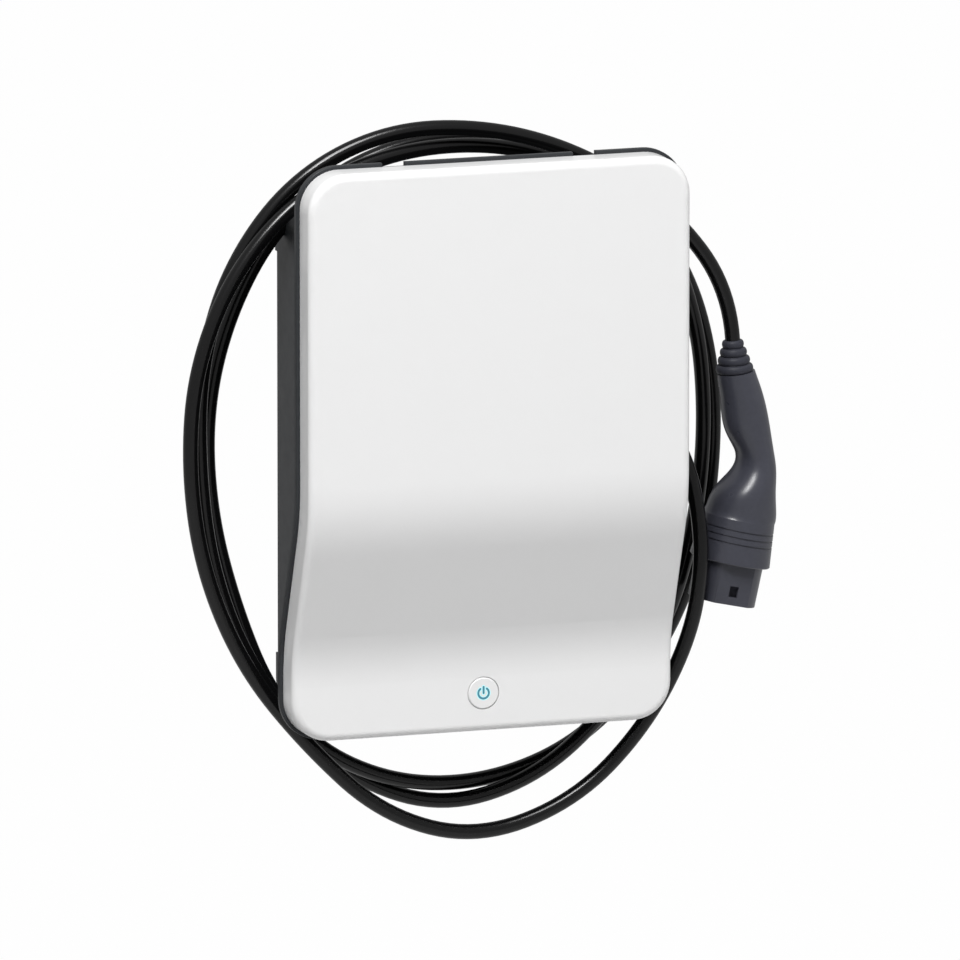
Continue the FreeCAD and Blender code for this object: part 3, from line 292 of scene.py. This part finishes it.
def scaled(colour, share):
    """A colour, lighter for a share over 1 and darker for one below."""
    return tuple(min(1.0, part * share) for part in colour)


def gloss_moulding(name, colour):
    """Smooth white plastic with a clear gloss and the faint waviness of a large moulding."""
    material, tree, shader, at = new_surface(
        name, colour, roughness=0.3, IOR=1.5, Coat_Weight=0.35, Coat_Roughness=0.12)
    bump(tree, shader, noise(tree, at, size=0.06, detail=1.0), depth=0.00006)
    roughen(tree, shader, noise(tree, at, size=0.02), low=0.26, high=0.34)
    return material


def grained_moulding(name, colour, grain, depth, rough, shine=0.2):
    """Plastic or rubber with a fine spark-eroded grain."""
    material, tree, shader, at = new_surface(name, colour, rough, IOR=1.5, Specular_IOR_Level=shine)
    bump(tree, shader, noise(tree, at, grain, detail=3.0), depth, strength=0.6)
    roughen(tree, shader, noise(tree, at, size=0.012), low=rough - 0.06, high=rough + 0.06)
    clouds = noise(tree, at, size=0.004, detail=4.0)
    tint(tree, shader, clouds, dark=scaled(colour, 0.9), light=scaled(colour, 1.12))
    return material


def jacket(name, colour):
    """Satin cable jacket, all but smooth, a little duller in places."""
    material, tree, shader, at = new_surface(
        name, colour, roughness=0.2, IOR=1.5, Specular_IOR_Level=0.35)
    bump(tree, shader, noise(tree, at, size=0.0012), depth=0.000004, strength=0.3)
    roughen(tree, shader, noise(tree, at, size=0.03), low=0.17, high=0.25)
    return material


def metal(name, colour, roughness):
    """Metal with faint drawing lines."""
    material, tree, shader, at = new_surface(name, colour, roughness, Metallic=1.0)
    stretch = tree.nodes.new("ShaderNodeMapping")
    stretch.inputs["Scale"].default_value = (1.0, 1.0, 30.0)
    tree.links.new(at, stretch.inputs["Vector"])
    lines = noise(tree, stretch.outputs["Vector"], size=0.02, detail=4.0)
    bump(tree, shader, lines, depth=0.00002, strength=0.4)
    roughen(tree, shader, lines, low=roughness - 0.08, high=roughness + 0.08)
    return material


def circuit_board(name):
    """Green board with a faint pattern of tracks."""
    material, tree, shader, at = new_surface(name, (0.02, 0.12, 0.05), roughness=0.4, IOR=1.5)
    tracks = tree.nodes.new("ShaderNodeTexVoronoi")
    tracks.distance = "MANHATTAN"
    tracks.inputs["Scale"].default_value = 220.0
    tree.links.new(at, tracks.inputs["Vector"])
    tint(tree, shader, tracks.outputs["Distance"], (0.03, 0.18, 0.07), (0.01, 0.08, 0.035))
    bump(tree, shader, tracks.outputs["Distance"], depth=0.00003, strength=0.4)
    return material


def clear_plastic(name):
    """Clear light pipe, faintly clouded."""
    material, tree, shader, at = new_surface(
        name, (0.8, 0.93, 1.0), roughness=0.15, IOR=1.49, Transmission_Weight=0.9)
    roughen(tree, shader, noise(tree, at, size=0.002), low=0.08, high=0.2)
    return material


def lit_sign(name, colour):
    """Ink of the power sign, lit a little from behind."""
    material, tree, shader, at = new_surface(
        name, colour, roughness=0.35, Emission_Strength=0.12, Emission_Color=(*colour, 1.0))
    clouds = noise(tree, at, size=0.0015)
    tint(tree, shader, clouds, dark=scaled(colour, 0.94), light=scaled(colour, 1.06))
    return material


def dress(material, *names):
    """Give CAD nodes their finish."""
    for name in names:
        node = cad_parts[name]
        node.data.materials.clear()
        node.data.materials.append(material)


class CHARGER_OT_finishes(bpy.types.Operator):
    """Give each moulded and metal piece of the model its finish"""
    bl_idname = "charger.finishes"
    bl_label = "Finishes"

    def execute(self, context):
        finish = context.scene.charger_finish
        dress(gloss_moulding("Cover White", finish.cover), "front_cover", "stop_button")
        dress(grained_moulding("Tub Grey", finish.tub, finish.grain, depth=0.00004, rough=0.42),
              "rear_housing")
        dress(grained_moulding("Gland Black", (0.03, 0.03, 0.033), finish.grain,
                               depth=0.00003, rough=0.4),
              "supply_gland_body", "supply_gland_locknut", "supply_gland_nut",
              "outlet_gland_body", "outlet_gland_nut")
        dress(grained_moulding("Seal Rubber", (0.018, 0.018, 0.018), grain=0.001,
                               depth=0.00005, rough=0.7),
              "cover_seal", "supply_gland_seal", "outlet_gland_seal", "button_return_dome")
        dress(grained_moulding("Connector Grey", finish.connector, finish.grain,
                               depth=0.00002, rough=0.3, shine=0.45),
              "handle_front_half", "handle_rear_half", "connector_collar", "connector_shroud")
        dress(grained_moulding("Boot Rubber", scaled(finish.connector, 0.8), grain=0.0008,
                               depth=0.00004, rough=0.5),
              "connector_boot")
        dress(grained_moulding("Inner Black", (0.02, 0.02, 0.022), grain=0.001,
                               depth=0.00004, rough=0.5),
              "contact_carrier", "button_guide", "button_switch", "current_sensor",
              "board_components")
        dress(grained_moulding("Device Grey", (0.55, 0.56, 0.57), grain=0.001,
                               depth=0.00004, rough=0.5),
              "residual_current_breaker", "contactor", "energy_meter", "power_supply",
              "supply_terminals")
        dress(metal("Zinc Steel", (0.6, 0.61, 0.62), roughness=0.35),
              "mounting_rail", "rail_spacers", "rail_screws", "cover_screws",
              "button_board_screws")
        dress(metal("Contact Brass", (0.75, 0.6, 0.3), roughness=0.25),
              "earth_bar", "board_pillars", "contact_sleeves")
        dress(circuit_board("Board Green"), "control_board", "button_board")
        dress(clear_plastic("Light Pipe Clear"), "button_light_pipe")
        return {"FINISHED"}


class CHARGER_OT_cable(bpy.types.Operator):
    """Lay the charging cable from its gland, three times round the waist, to the connector"""
    bl_idname = "charger.cable"
    bl_label = "Charging cable"

    def execute(self, context):
        diameter = context.scene.charger_cable.diameter
        start = OUTLET_FOOT + outlet_axis() * OUTLET_REACH
        lead = start + outlet_axis() * OUTLET_LEAD
        route = [start, lead] + [Vector(point) for point in CABLE_ROUTE]
        curve = bpy.data.curves.new("charging_cable", "CURVE")
        curve.dimensions = "3D"
        line = curve.splines.new("NURBS")
        line.points.add(len(route) - 1)
        for point, place in zip(line.points, route):
            point.co = (*(place * MM), 1.0)
        line.order_u = 3
        line.use_endpoint_u = True
        line.resolution_u = 10
        curve.bevel_depth = diameter / 2
        curve.bevel_resolution = 7
        curve.use_fill_caps = True
        cable = bpy.data.objects.new("charging_cable", curve)
        context.scene.collection.objects.link(cable)
        curve.materials.append(jacket("Cable Jacket", context.scene.charger_finish.jacket))
        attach(cable, "charger")
        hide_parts("charge_cable")
        return {"FINISHED"}


# Geometry Nodes
def new_tree(name, inputs):
    """Geometry tree with named inputs beside its geometry, and the node that hands them in."""
    tree = bpy.data.node_groups.new(name, "GeometryNodeTree")
    tree.interface.new_socket("Geometry", in_out="OUTPUT", socket_type="NodeSocketGeometry")
    tree.interface.new_socket("Geometry", in_out="INPUT", socket_type="NodeSocketGeometry")
    for title, kind in inputs:
        tree.interface.new_socket(title, in_out="INPUT", socket_type="NodeSocket" + kind)
    return tree, tree.nodes.new("NodeGroupInput").outputs


def add(tree, kind, inputs, **settings):
    """Add a node with its settings, and feed each input a value or another node's output."""
    node = tree.nodes.new(kind)
    for key, value in settings.items():
        setattr(node, key, value)
    for key, value in inputs.items():
        if isinstance(value, bpy.types.NodeSocket):
            tree.links.new(value, node.inputs[key])
        else:
            node.inputs[key].default_value = value
    return node.outputs[0]


def maths(tree, operation, *values):
    """One sum on numbers or outputs."""
    return add(tree, "ShaderNodeMath", dict(enumerate(values)), operation=operation)


def finish_tree(tree, geometry, material):
    """End a tree: real geometry, smooth shading and its material."""
    real = add(tree, "GeometryNodeRealizeInstances", {"Geometry": geometry})
    smooth = add(tree, "GeometryNodeSetShadeSmooth", {"Geometry": real})
    dressed = add(tree, "GeometryNodeSetMaterial", {"Geometry": smooth, "Material": material})
    tree.links.new(dressed, tree.nodes.new("NodeGroupOutput").inputs["Geometry"])
    return tree


def axis_line(tree, length, points):
    """Straight curve up the Z axis with evenly spaced points."""
    top = add(tree, "ShaderNodeCombineXYZ", {"Z": length})
    line = add(tree, "GeometryNodeCurvePrimitiveLine", {"End": top})
    return add(tree, "GeometryNodeResampleCurve", {"Curve": line, "Count": points})


def ribbed_ring():
    """Tree of round-ended ribs that stand in a ring."""
    tree, given = new_tree("Ribbed Ring", (
        ("Count", "Int"), ("Ring Radius", "Float"), ("Rib Radius", "Float"),
        ("Rib Length", "Float"), ("Material", "Material")))
    line = axis_line(tree, given["Rib Length"], points=13)
    # The radius falls off only near the two ends, and never to nothing
    share = tree.nodes.new("GeometryNodeSplineParameter").outputs["Factor"]
    off_middle = maths(tree, "ABSOLUTE", maths(tree, "MULTIPLY_ADD", share, 2.0, -1.0))
    drop = maths(tree, "POWER", off_middle, 6.0)
    swell = maths(tree, "SQRT", maths(tree, "SUBTRACT", 1.02, drop))
    profile = add(tree, "GeometryNodeCurvePrimitiveCircle",
                  {"Resolution": 8, "Radius": given["Rib Radius"]})
    rib = add(tree, "GeometryNodeCurveToMesh",
              {"Curve": line, "Profile Curve": profile, "Scale": swell, "Fill Caps": True})
    ring = add(tree, "GeometryNodeMeshCircle",
               {"Vertices": given["Count"], "Radius": given["Ring Radius"]})
    ribs = add(tree, "GeometryNodeInstanceOnPoints", {"Points": ring, "Instance": rib})
    return finish_tree(tree, ribs, given["Material"])


def beaded_taper():
    """Tree of a tapered sleeve whose rounded beads widen from one end to the other."""
    tree, given = new_tree("Beaded Taper", (
        ("Length", "Float"), ("Beads", "Int"), ("First Radius", "Float"),
        ("Last Radius", "Float"), ("Bead Depth", "Float"), ("Material", "Material")))
    points = maths(tree, "MULTIPLY_ADD", given["Beads"], float(BEAD_STEPS), 1.0)
    line = axis_line(tree, given["Length"], points)
    # Which bead a point is on, and where it is across that bead, from -1 to 1
    share = tree.nodes.new("GeometryNodeSplineParameter").outputs["Factor"]
    along = maths(tree, "MULTIPLY", share, given["Beads"])
    last = maths(tree, "SUBTRACT", given["Beads"], 1.0)
    bead = maths(tree, "MINIMUM", maths(tree, "FLOOR", along), last)
    across = maths(tree, "MULTIPLY_ADD", maths(tree, "SUBTRACT", along, bead), 2.0, -1.0)
    # Each bead is half an ellipse on a groove, and wider than the one before
    flat = maths(tree, "SUBTRACT", 1.0, maths(tree, "MULTIPLY", across, across))
    crown = maths(tree, "SQRT", maths(tree, "MAXIMUM", flat, 0.0))
    rise = maths(tree, "SUBTRACT", given["Last Radius"], given["First Radius"])
    growth = maths(tree, "DIVIDE", rise, last)
    outer = maths(tree, "MULTIPLY_ADD", bead, growth, given["First Radius"])
    groove = maths(tree, "SUBTRACT", outer, given["Bead Depth"])
    radius = maths(tree, "MULTIPLY_ADD", crown, given["Bead Depth"], groove)
    profile = add(tree, "GeometryNodeCurvePrimitiveCircle",
                  {"Resolution": 56, "Radius": 1.0})
    sleeve = add(tree, "GeometryNodeCurveToMesh",
                 {"Curve": line, "Profile Curve": profile, "Scale": radius, "Fill Caps": True})
    return finish_tree(tree, sleeve, given["Material"])


def socket_screws():
    """Tree of screw heads with a six-sided socket, one on each point, turned to its tilt."""
    tree, given = new_tree("Socket Screws", (
        ("Head Radius", "Float"), ("Head Height", "Float"), ("Material", "Material")))
    head = add(tree, "GeometryNodeMeshCylinder",
               {"Vertices": 40, "Radius": given["Head Radius"], "Depth": given["Head Height"]})
    width = maths(tree, "MULTIPLY", given["Head Radius"], SOCKET_WIDTH)
    key = add(tree, "GeometryNodeMeshCylinder",
              {"Vertices": 6, "Radius": width, "Depth": given["Head Height"]})
    up = maths(tree, "MULTIPLY", given["Head Height"], SOCKET_LIFT)
    lift = add(tree, "ShaderNodeCombineXYZ", {"Z": up})
    key = add(tree, "GeometryNodeTransform", {"Geometry": key, "Translation": lift})
    screw = add(tree, "GeometryNodeMeshBoolean", {"Mesh 1": head, "Mesh 2": key},
                operation="DIFFERENCE")
    tilt = add(tree, "GeometryNodeInputNamedAttribute", {"Name": "tilt"},
               data_type="FLOAT_VECTOR")
    turn = add(tree, "FunctionNodeAlignRotationToVector", {"Vector": tilt}, axis="Z")
    screws = add(tree, "GeometryNodeInstanceOnPoints",
                 {"Points": given["Geometry"], "Instance": screw, "Rotation": turn})
    return finish_tree(tree, screws, given["Material"])


def grow(name, tree, values, place=None, points=None):
    """Run a tree on its points, keep the plain mesh that it makes, and move that to its place."""
    start = points or bpy.data.meshes.new(name + "_start")
    piece = bpy.data.objects.new(name, start)
    bpy.context.scene.collection.objects.link(piece)
    modifier = piece.modifiers.new(name, "NODES")
    modifier.node_group = tree
    for socket in tree.interface.items_tree:
        if socket.in_out == "INPUT" and socket.name in values:
            modifier[socket.identifier] = values[socket.name]
    graph = bpy.context.evaluated_depsgraph_get()
    mesh = bpy.data.meshes.new_from_object(piece.evaluated_get(graph), depsgraph=graph)
    piece.modifiers.remove(modifier)
    piece.data = mesh
    bpy.data.meshes.remove(start)
    mesh.name = name
    if place is not None:
        mesh.transform(place)
    return piece


def stand(foot, way):
    """Matrix that turns the Z axis along a direction and moves the origin to a foot."""
    return Matrix.Translation(foot * MM) @ way.to_track_quat("Z", "Y").to_matrix().to_4x4()


def outlet_axis():
    """Direction in which the charging cable leaves its gland."""
    return Vector((math.cos(OUTLET_ANGLE), 0.0, -math.sin(OUTLET_ANGLE)))


class CHARGER_OT_nut_ribs(bpy.types.Operator):
    """Raise the grip ribs round the two gland nuts"""
    bl_idname = "charger.nut_ribs"
    bl_label = "Nut ribs"

    def execute(self, context):
        tree = ribbed_ring()
        outlet = OUTLET_FOOT + outlet_axis() * OUTLET_RIBS_REACH
        for name, foot, way, (radius, length) in (
                ("outlet_nut_ribs", outlet, outlet_axis(), OUTLET_RIBS),
                ("supply_nut_ribs", SUPPLY_RIBS_TOP, Vector((0.0, 0.0, -1.0)), SUPPLY_RIBS)):
            ribs = grow(name, tree,
                        {"Count": context.scene.charger_trim.ribs, "Ring Radius": radius,
                         "Rib Radius": RIB_RADIUS, "Rib Length": length,
                         "Material": bpy.data.materials["Gland Black"]},
                        place=stand(foot, way))
            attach(ribs, "charger")
        return {"FINISHED"}


class CHARGER_OT_boot(bpy.types.Operator):
    """Shape the beaded boot between the cable and the connector"""
    bl_idname = "charger.boot"
    bl_label = "Boot"

    def execute(self, context):
        trim = context.scene.charger_trim
        before, end = (Vector(point) for point in CABLE_ROUTE[-2:])
        boot = grow("boot", beaded_taper(),
                    {"Length": trim.boot_length, "Beads": trim.beads,
                     "First Radius": trim.boot_top, "Last Radius": trim.boot_base,
                     "Bead Depth": BEAD_DEPTH, "Material": bpy.data.materials["Boot Rubber"]},
                    place=stand(end, (end - before).normalized()))
        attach(boot, "charger")
        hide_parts("connector_boot")
        return {"FINISHED"}


class CHARGER_OT_connector_screws(bpy.types.Operator):
    """Set the screws that hold the connector's two halves into its back"""
    bl_idname = "charger.connector_screws"
    bl_label = "Connector screws"

    def execute(self, context):
        half = BVHTree.FromObject(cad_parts["handle_rear_half"],
                                  context.evaluated_depsgraph_get())
        forward = Vector((0.0, -1.0, 0.0))
        places = []
        tilts = []
        for x, z in SCREW_SPOTS:
            spot, tilt = half.ray_cast(Vector((x, 0.0, z)) * MM, forward)[:2]
            if spot is None:
                raise RuntimeError("a screw misses the connector's back")
            places.append(spot)
            tilts.append(tilt)
        points = bpy.data.meshes.new("screw_places")
        points.from_pydata(places, [], [])
        lean = points.attributes.new("tilt", "FLOAT_VECTOR", "POINT")
        for value, tilt in zip(lean.data, tilts):
            value.vector = tilt
        screws = grow("connector_screws", socket_screws(),
                      {"Head Radius": context.scene.charger_trim.screw_head / 2,
                       "Head Height": SCREW_HEAD_HEIGHT,
                       "Material": bpy.data.materials["Zinc Steel"]}, points=points)
        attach(screws, "charger")
        return {"FINISHED"}


# Power sign
def stroke_faces(form, middle, width, low, high):
    """Add a stroke with round ends along a line of points, as a solid between two depths."""
    left = []
    right = []
    half = len(middle)
    for i, point in enumerate(middle):
        along = (middle[min(i + 1, half - 1)] - middle[max(i - 1, 0)]).normalized()
        side = Vector((-along.y, along.x)) * width / 2
        left.append(point + side)
        right.append(point - side)
    ends = []
    for point, edge in ((middle[-1], left[-1]), (middle[0], right[0])):
        ends.append([point + Matrix.Rotation(-math.pi * k / END_STEPS, 2) @ (edge - point)
                     for k in range(1, END_STEPS)])
    outline = left + ends[0] + right[::-1] + ends[1]
    rings = [[form.verts.new((point.x, depth, point.y)) for point in outline]
             for depth in (low, high)]
    size = len(outline)
    for i in range(size):
        k = (i + 1) % size
        form.faces.new((rings[0][i], rings[0][k], rings[1][k], rings[1][i]))
    # Each flat side is one face for each round end and a strip of quads between them
    last = 2 * half + END_STEPS - 2
    for ring in rings:
        form.faces.new(ring[half - 1:half + END_STEPS])
        for i in range(half - 1):
            form.faces.new((ring[i], ring[i + 1], ring[last - 1 - i], ring[last - i]))
        form.faces.new(ring[last:] + [ring[0]])


class CHARGER_OT_power_sign(bpy.types.Operator):
    """Print the power sign on the button"""
    bl_idname = "charger.power_sign"
    bl_label = "Power sign"

    def execute(self, context):
        sign = context.scene.charger_sign
        finish = context.scene.charger_finish
        low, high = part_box("stop_button")
        centre = Vector(((low.x + high.x) / 2, (low.z + high.z) / 2))
        face = low.y
        radius = (sign.diameter - sign.stroke) / 2
        arc = []
        for i in range(RING_STEPS + 1):
            angle = sign.gap + (2 * math.pi - 2 * sign.gap) * i / RING_STEPS
            arc.append(centre + Vector((math.sin(angle), math.cos(angle))) * radius)
        top = radius + sign.stroke * BAR_RISE
        bar = [centre + Vector((0, top - sign.bar * i / BAR_STEPS)) for i in range(BAR_STEPS + 1)]
        glow = lit_sign("Sign Glow", finish.glow)
        ink = lit_sign("Sign Cyan", finish.sign)
        for name, width, rise, material in (
                ("sign_glow", sign.stroke + 2 * sign.rim, GLOW_RISE, glow),
                ("power_sign", sign.stroke, STROKE_RISE, ink)):
            form = bmesh.new()
            for middle in (arc, bar):
                stroke_faces(form, middle, width, face - rise, face + SIGN_DEPTH)
            bmesh.ops.recalc_face_normals(form, faces=form.faces)
            mesh = bpy.data.meshes.new(name)
            form.to_mesh(mesh)
            form.free()
            piece = bpy.data.objects.new(name, mesh)
            context.scene.collection.objects.link(piece)
            mesh.materials.append(material)
            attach(piece, "button")
        return {"FINISHED"}


# Stage
def seen_share(tree, camera):
    """How white the background is, to the camera and to reflections and clear plastic."""
    path = tree.nodes.new("ShaderNodeLightPath").outputs
    mirrored = maths(tree, "MAXIMUM", path["Is Glossy Ray"], path["Is Transmission Ray"])
    return maths(tree, "MAXIMUM", maths(tree, "MULTIPLY", path["Is Camera Ray"], camera),
                 maths(tree, "MULTIPLY", mirrored, MIRRORED_WHITE))


def floor_material():
    """Pale floor that reads white from the camera and keeps a soft shadow."""
    material = bpy.data.materials.new("Pale Floor")
    material.use_nodes = True
    tree = material.node_tree
    matt = tree.nodes["Principled BSDF"]
    matt.inputs["Base Color"].default_value = (0.6, 0.6, 0.6, 1.0)
    matt.inputs["Roughness"].default_value = 0.9
    white = tree.nodes.new("ShaderNodeEmission")
    white.inputs["Strength"].default_value = 1.0
    mix = tree.nodes.new("ShaderNodeMixShader")
    tree.links.new(seen_share(tree, FLOOR_WHITE), mix.inputs["Fac"])
    tree.links.new(matt.outputs["BSDF"], mix.inputs[1])
    tree.links.new(white.outputs["Emission"], mix.inputs[2])
    tree.links.new(mix.outputs["Shader"], tree.nodes["Material Output"].inputs["Surface"])
    return material


def world_light(world, fill):
    """White to the camera, pale grey to reflections, and otherwise an even low light."""
    world.use_nodes = True
    tree = world.node_tree
    even = tree.nodes["Background"]
    even.inputs["Color"].default_value = (1.0, 1.0, 1.0, 1.0)
    even.inputs["Strength"].default_value = fill
    white = tree.nodes.new("ShaderNodeBackground")
    white.inputs["Strength"].default_value = 1.0
    white.inputs["Color"].default_value = (1.0, 1.0, 1.0, 1.0)
    mix = tree.nodes.new("ShaderNodeMixShader")
    tree.links.new(seen_share(tree, 1.0), mix.inputs["Fac"])
    tree.links.new(even.outputs["Background"], mix.inputs[1])
    tree.links.new(white.outputs["Background"], mix.inputs[2])
    tree.links.new(mix.outputs["Shader"], tree.nodes["World Output"].inputs["Surface"])


def soft_light(name, place, target, size, power):
    """Square lamp aimed at a point."""
    lamp = bpy.data.lights.new(name, "AREA")
    lamp.shape = "SQUARE"
    lamp.size = size
    lamp.energy = power
    holder = bpy.data.objects.new(name, lamp)
    holder.location = place
    holder.rotation_euler = (target - place).to_track_quat("-Z", "Y").to_euler()
    bpy.context.scene.collection.objects.link(holder)
    return holder


class CHARGER_OT_stage(bpy.types.Operator):
    """Set up the floor, the light and the camera"""
    bl_idname = "charger.stage"
    bl_label = "Stage"

    def execute(self, context):
        stage = context.scene.charger_stage
        context.scene.view_settings.view_transform = "Standard"
        target = VIEW_TARGET * MM
        flat = math.cos(stage.elevation)
        back = Vector((-math.sin(stage.azimuth) * flat, -math.cos(stage.azimuth) * flat,
                       math.sin(stage.elevation)))
        camera = bpy.data.cameras.new("camera")
        camera.sensor_width = SENSOR_WIDTH
        camera.lens = SENSOR_WIDTH * stage.distance / stage.width
        camera.clip_end = CLIP_END
        holder = bpy.data.objects.new("camera", camera)
        holder.location = target + back * stage.distance
        holder.rotation_euler = (-back).to_track_quat("-Z", "Y").to_euler()
        context.scene.collection.objects.link(holder)
        context.scene.camera = holder
        floor = bpy.data.meshes.new("floor")
        form = bmesh.new()
        bmesh.ops.create_grid(form, x_segments=1, y_segments=1, size=FLOOR_SIZE)
        bmesh.ops.translate(form, verts=form.verts, vec=(0.0, 0.0, FLOOR_LEVEL))
        form.to_mesh(floor)
        form.free()
        floor.materials.append(floor_material())
        ground = bpy.data.objects.new("floor", floor)
        context.scene.collection.objects.link(ground)
        world = context.scene.world or bpy.data.worlds.new("World")
        context.scene.world = world
        world_light(world, stage.fill)
        for name, (way, size, mirrored) in LAMPS.items():
            place = target + LIGHT_DISTANCE * Vector(way).normalized()
            lamp = soft_light(name, place, target, size, getattr(stage, name))
            lamp.visible_glossy = mirrored
        return {"FINISHED"}


class CHARGER_PT_panel(bpy.types.Panel):
    """Settings and steps of the charger"""
    bl_idname = "CHARGER_PT_panel"
    bl_label = "Vehicle Charger"
    bl_space_type = "VIEW_3D"
    bl_region_type = "UI"
    bl_category = "Charger"

    def draw(self, context):
        for name in SETTINGS:
            settings = getattr(context.scene, name)
            box = self.layout.box()
            box.label(text=name.removeprefix("charger_").title())
            for field in settings.__annotations__:
                box.prop(settings, field)
        for step in STEPS:
            self.layout.operator(step.bl_idname)


SETTINGS = {
    "charger_finish": ChargerFinish,
    "charger_cable": ChargerCable,
    "charger_trim": ChargerTrim,
    "charger_sign": ChargerSign,
    "charger_stage": ChargerStage,
}
STEPS = (CHARGER_OT_finishes, CHARGER_OT_boot, CHARGER_OT_connector_screws, CHARGER_OT_cable,
         CHARGER_OT_nut_ribs, CHARGER_OT_power_sign, CHARGER_OT_stage)
CLASSES = (*SETTINGS.values(), *STEPS, CHARGER_PT_panel)


def register():
    for item in CLASSES:
        bpy.utils.register_class(item)
    for name, settings in SETTINGS.items():
        setattr(bpy.types.Scene, name, PointerProperty(type=settings))


def unregister():
    for name in reversed(SETTINGS):
        delattr(bpy.types.Scene, name)
    for item in reversed(CLASSES):
        bpy.utils.unregister_class(item)


def main():
    """Dress the model, one step after another."""
    register()
    for step in STEPS:
        group, name = step.bl_idname.split(".")
        getattr(getattr(bpy.ops, group), name)()


if __name__ == "__main__":
    main()
